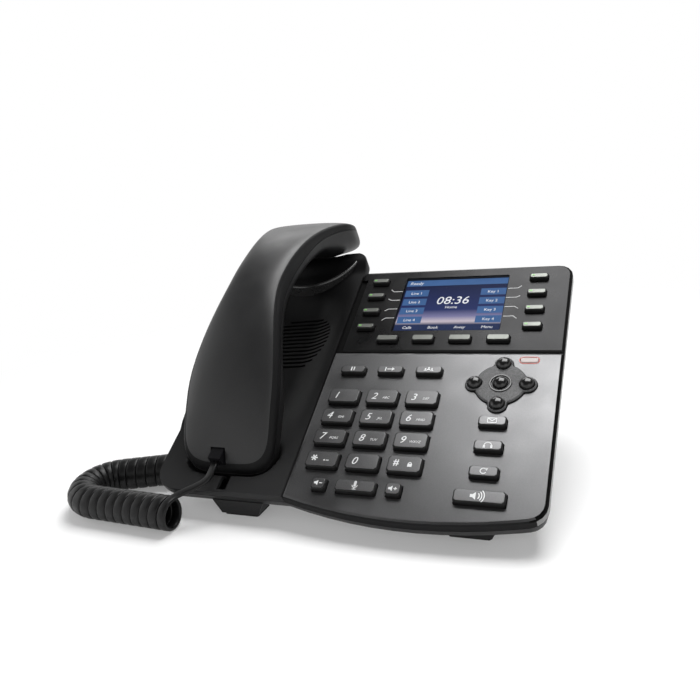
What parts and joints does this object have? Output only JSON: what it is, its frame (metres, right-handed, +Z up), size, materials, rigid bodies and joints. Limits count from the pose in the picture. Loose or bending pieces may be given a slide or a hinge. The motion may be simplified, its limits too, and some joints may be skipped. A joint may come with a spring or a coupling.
{
  "type": "desk telephone",
  "caption": "Sloping desk telephone with a handset in a side cradle, curly cord, dial keypad, navigation disc, display with line and soft keys, and a rear stand.",
  "frame": {"origin": "middle of the footprint box of the phone without its cord, on the desk", "axes": "+X to the right of someone facing the keypad, +Y away from them, +Z up"},
  "size_m": [0.286, 0.2215, 0.1425],
  "materials": {
    "case_plastic": "fine-textured charcoal",
    "handset_plastic": "satin charcoal",
    "grey_panel": "metallic grey lacquer",
    "dark_panel": "satin dark grey",
    "grey_key": "metallic grey lacquer",
    "pale_key": "satin pale grey",
    "gloss_button": "gloss black",
    "lamp_plastic": "translucent red",
    "window": "clear gloss",
    "screen_module": "display panel",
    "keypad_rubber": "matt",
    "board": "lacquered laminate",
    "speaker_frame": "matt",
    "capsule_metal": "brushed",
    "foot_rubber": "matt",
    "cord_jacket": "satin",
    "plug_plastic": "smoked clear"
  },
  "bodies": {
    "base": {"bottom_case": "case_plastic", "cradle": "case_plastic", "keypad_faceplate": "grey_panel", "display_bezel": "dark_panel", "display_window": "window", "lcd_module": "screen_module", "main_board": "board", "keypad_membrane": "keypad_rubber", "nav_disc": "dark_panel", "message_lamp": "lamp_plastic", "loudspeaker": "speaker_frame", "rear_stand": "case_plastic", "foot_pad_left": "foot_rubber", "foot_pad_right": "foot_rubber", "base_plug": "plug_plastic", "handset_cord": "cord_jacket"},
    "handset": {"handset_rear_shell": "handset_plastic", "handset_front_shell": "handset_plastic", "receiver_capsule": "capsule_metal", "handset_plug": "plug_plastic"},
    "hook": {"hook_switch": "case_plastic"},
    "dial_key_1_body": {"dial_key_1": "grey_key"},
    "dial_key_2_body": {"dial_key_2": "grey_key"},
    "dial_key_3_body": {"dial_key_3": "grey_key"},
    "dial_key_4_body": {"dial_key_4": "grey_key"},
    "dial_key_5_body": {"dial_key_5": "grey_key"},
    "dial_key_6_body": {"dial_key_6": "grey_key"},
    "dial_key_7_body": {"dial_key_7": "grey_key"},
    "dial_key_8_body": {"dial_key_8": "grey_key"},
    "dial_key_9_body": {"dial_key_9": "grey_key"},
    "dial_key_star_body": {"dial_key_star": "grey_key"},
    "dial_key_0_body": {"dial_key_0": "grey_key"},
    "dial_key_hash_body": {"dial_key_hash": "grey_key"},
    "hold_key_body": {"hold_key": "grey_key"},
    "transfer_key_body": {"transfer_key": "grey_key"},
    "conference_key_body": {"conference_key": "grey_key"},
    "volume_down_key_body": {"volume_down_key": "grey_key"},
    "mute_key_body": {"mute_key": "grey_key"},
    "volume_up_key_body": {"volume_up_key": "grey_key"},
    "message_key_body": {"message_key": "grey_key"},
    "headset_key_body": {"headset_key": "grey_key"},
    "redial_key_body": {"redial_key": "grey_key"},
    "speaker_key_body": {"speaker_key": "grey_key"},
    "line_key_left_1_body": {"line_key_left_1": "pale_key"},
    "line_key_left_2_body": {"line_key_left_2": "pale_key"},
    "line_key_left_3_body": {"line_key_left_3": "pale_key"},
    "line_key_left_4_body": {"line_key_left_4": "pale_key"},
    "line_key_right_1_body": {"line_key_right_1": "pale_key"},
    "line_key_right_2_body": {"line_key_right_2": "pale_key"},
    "line_key_right_3_body": {"line_key_right_3": "pale_key"},
    "line_key_right_4_body": {"line_key_right_4": "pale_key"},
    "soft_key_1_body": {"soft_key_1": "pale_key"},
    "soft_key_2_body": {"soft_key_2": "pale_key"},
    "soft_key_3_body": {"soft_key_3": "pale_key"},
    "soft_key_4_body": {"soft_key_4": "pale_key"},
    "nav_up_body": {"nav_up": "gloss_button"},
    "nav_down_body": {"nav_down": "gloss_button"},
    "nav_left_body": {"nav_left": "gloss_button"},
    "nav_right_body": {"nav_right": "gloss_button"},
    "nav_ok_body": {"nav_ok": "gloss_button"}
  },
  "joints": [
    {"name": "handset_lift", "type": "slide", "parent": "base", "child": "handset", "axis": [0, -0.5, 0.866], "range_m": [0, 0.08], "deforming": ["handset_cord"]},
    {"name": "hook_switch_rise", "type": "slide", "parent": "base", "child": "hook", "axis": [0, -0.5, 0.866], "range_m": [0, 0.004]},
    {"name": "dial_key_1_press", "type": "slide", "parent": "base", "child": "dial_key_1_body", "axis": [0, 0.5, -0.866], "range_m": [0, 0.0012], "stiffness_N_per_m": 180, "springref_m": -0.001},
    {"name": "dial_key_2_press", "type": "slide", "parent": "base", "child": "dial_key_2_body", "axis": [0, 0.5, -0.866], "range_m": [0, 0.0012], "stiffness_N_per_m": 180, "springref_m": -0.001},
    {"name": "dial_key_3_press", "type": "slide", "parent": "base", "child": "dial_key_3_body", "axis": [0, 0.5, -0.866], "range_m": [0, 0.0012], "stiffness_N_per_m": 180, "springref_m": -0.001},
    {"name": "dial_key_4_press", "type": "slide", "parent": "base", "child": "dial_key_4_body", "axis": [0, 0.5, -0.866], "range_m": [0, 0.0012], "stiffness_N_per_m": 180, "springref_m": -0.001},
    {"name": "dial_key_5_press", "type": "slide", "parent": "base", "child": "dial_key_5_body", "axis": [0, 0.5, -0.866], "range_m": [0, 0.0012], "stiffness_N_per_m": 180, "springref_m": -0.001},
    {"name": "dial_key_6_press", "type": "slide", "parent": "base", "child": "dial_key_6_body", "axis": [0, 0.5, -0.866], "range_m": [0, 0.0012], "stiffness_N_per_m": 180, "springref_m": -0.001},
    {"name": "dial_key_7_press", "type": "slide", "parent": "base", "child": "dial_key_7_body", "axis": [0, 0.5, -0.866], "range_m": [0, 0.0012], "stiffness_N_per_m": 180, "springref_m": -0.001},
    {"name": "dial_key_8_press", "type": "slide", "parent": "base", "child": "dial_key_8_body", "axis": [0, 0.5, -0.866], "range_m": [0, 0.0012], "stiffness_N_per_m": 180, "springref_m": -0.001},
    {"name": "dial_key_9_press", "type": "slide", "parent": "base", "child": "dial_key_9_body", "axis": [0, 0.5, -0.866], "range_m": [0, 0.0012], "stiffness_N_per_m": 180, "springref_m": -0.001},
    {"name": "dial_key_star_press", "type": "slide", "parent": "base", "child": "dial_key_star_body", "axis": [0, 0.5, -0.866], "range_m": [0, 0.0012], "stiffness_N_per_m": 180, "springref_m": -0.001},
    {"name": "dial_key_0_press", "type": "slide", "parent": "base", "child": "dial_key_0_body", "axis": [0, 0.5, -0.866], "range_m": [0, 0.0012], "stiffness_N_per_m": 180, "springref_m": -0.001},
    {"name": "dial_key_hash_press", "type": "slide", "parent": "base", "child": "dial_key_hash_body", "axis": [0, 0.5, -0.866], "range_m": [0, 0.0012], "stiffness_N_per_m": 180, "springref_m": -0.001},
    {"name": "hold_key_press", "type": "slide", "parent": "base", "child": "hold_key_body", "axis": [0, 0.5, -0.866], "range_m": [0, 0.0012], "stiffness_N_per_m": 180, "springref_m": -0.001},
    {"name": "transfer_key_press", "type": "slide", "parent": "base", "child": "transfer_key_body", "axis": [0, 0.5, -0.866], "range_m": [0, 0.0012], "stiffness_N_per_m": 180, "springref_m": -0.001},
    {"name": "conference_key_press", "type": "slide", "parent": "base", "child": "conference_key_body", "axis": [0, 0.5, -0.866], "range_m": [0, 0.0012], "stiffness_N_per_m": 180, "springref_m": -0.001},
    {"name": "volume_down_key_press", "type": "slide", "parent": "base", "child": "volume_down_key_body", "axis": [0, 0.5, -0.866], "range_m": [0, 0.0012], "stiffness_N_per_m": 180, "springref_m": -0.001},
    {"name": "mute_key_press", "type": "slide", "parent": "base", "child": "mute_key_body", "axis": [0, 0.5, -0.866], "range_m": [0, 0.0012], "stiffness_N_per_m": 180, "springref_m": -0.001},
    {"name": "volume_up_key_press", "type": "slide", "parent": "base", "child": "volume_up_key_body", "axis": [0, 0.5, -0.866], "range_m": [0, 0.0012], "stiffness_N_per_m": 180, "springref_m": -0.001},
    {"name": "message_key_press", "type": "slide", "parent": "base", "child": "message_key_body", "axis": [0, 0.5, -0.866], "range_m": [0, 0.0012], "stiffness_N_per_m": 180, "springref_m": -0.001},
    {"name": "headset_key_press", "type": "slide", "parent": "base", "child": "headset_key_body", "axis": [0, 0.5, -0.866], "range_m": [0, 0.0012], "stiffness_N_per_m": 180, "springref_m": -0.001},
    {"name": "redial_key_press", "type": "slide", "parent": "base", "child": "redial_key_body", "axis": [0, 0.5, -0.866], "range_m": [0, 0.0012], "stiffness_N_per_m": 180, "springref_m": -0.001},
    {"name": "speaker_key_press", "type": "slide", "parent": "base", "child": "speaker_key_body", "axis": [0, 0.5, -0.866], "range_m": [0, 0.0012], "stiffness_N_per_m": 180, "springref_m": -0.001},
    {"name": "line_key_left_1_press", "type": "slide", "parent": "base", "child": "line_key_left_1_body", "axis": [0, 0.5, -0.866], "range_m": [0, 0.0012], "stiffness_N_per_m": 180, "springref_m": -0.001},
    {"name": "line_key_left_2_press", "type": "slide", "parent": "base", "child": "line_key_left_2_body", "axis": [0, 0.5, -0.866], "range_m": [0, 0.0012], "stiffness_N_per_m": 180, "springref_m": -0.001},
    {"name": "line_key_left_3_press", "type": "slide", "parent": "base", "child": "line_key_left_3_body", "axis": [0, 0.5, -0.866], "range_m": [0, 0.0012], "stiffness_N_per_m": 180, "springref_m": -0.001},
    {"name": "line_key_left_4_press", "type": "slide", "parent": "base", "child": "line_key_left_4_body", "axis": [0, 0.5, -0.866], "range_m": [0, 0.0012], "stiffness_N_per_m": 180, "springref_m": -0.001},
    {"name": "line_key_right_1_press", "type": "slide", "parent": "base", "child": "line_key_right_1_body", "axis": [0, 0.5, -0.866], "range_m": [0, 0.0012], "stiffness_N_per_m": 180, "springref_m": -0.001},
    {"name": "line_key_right_2_press", "type": "slide", "parent": "base", "child": "line_key_right_2_body", "axis": [0, 0.5, -0.866], "range_m": [0, 0.0012], "stiffness_N_per_m": 180, "springref_m": -0.001},
    {"name": "line_key_right_3_press", "type": "slide", "parent": "base", "child": "line_key_right_3_body", "axis": [0, 0.5, -0.866], "range_m": [0, 0.0012], "stiffness_N_per_m": 180, "springref_m": -0.001},
    {"name": "line_key_right_4_press", "type": "slide", "parent": "base", "child": "line_key_right_4_body", "axis": [0, 0.5, -0.866], "range_m": [0, 0.0012], "stiffness_N_per_m": 180, "springref_m": -0.001},
    {"name": "soft_key_1_press", "type": "slide", "parent": "base", "child": "soft_key_1_body", "axis": [0, 0.5, -0.866], "range_m": [0, 0.0012], "stiffness_N_per_m": 180, "springref_m": -0.001},
    {"name": "soft_key_2_press", "type": "slide", "parent": "base", "child": "soft_key_2_body", "axis": [0, 0.5, -0.866], "range_m": [0, 0.0012], "stiffness_N_per_m": 180, "springref_m": -0.001},
    {"name": "soft_key_3_press", "type": "slide", "parent": "base", "child": "soft_key_3_body", "axis": [0, 0.5, -0.866], "range_m": [0, 0.0012], "stiffness_N_per_m": 180, "springref_m": -0.001},
    {"name": "soft_key_4_press", "type": "slide", "parent": "base", "child": "soft_key_4_body", "axis": [0, 0.5, -0.866], "range_m": [0, 0.0012], "stiffness_N_per_m": 180, "springref_m": -0.001},
    {"name": "nav_up_press", "type": "slide", "parent": "base", "child": "nav_up_body", "axis": [0, 0.5, -0.866], "range_m": [0, 0.0012], "stiffness_N_per_m": 180, "springref_m": -0.001},
    {"name": "nav_down_press", "type": "slide", "parent": "base", "child": "nav_down_body", "axis": [0, 0.5, -0.866], "range_m": [0, 0.0012], "stiffness_N_per_m": 180, "springref_m": -0.001},
    {"name": "nav_left_press", "type": "slide", "parent": "base", "child": "nav_left_body", "axis": [0, 0.5, -0.866], "range_m": [0, 0.0012], "stiffness_N_per_m": 180, "springref_m": -0.001},
    {"name": "nav_right_press", "type": "slide", "parent": "base", "child": "nav_right_body", "axis": [0, 0.5, -0.866], "range_m": [0, 0.0012], "stiffness_N_per_m": 180, "springref_m": -0.001},
    {"name": "nav_ok_press", "type": "slide", "parent": "base", "child": "nav_ok_body", "axis": [0, 0.5, -0.866], "range_m": [0, 0.0012], "stiffness_N_per_m": 180, "springref_m": -0.001}
  ],
  "couplings": [
    {"joint": "hook_switch_rise", "follows": "handset_lift", "ratio": 0.05}
  ]
}
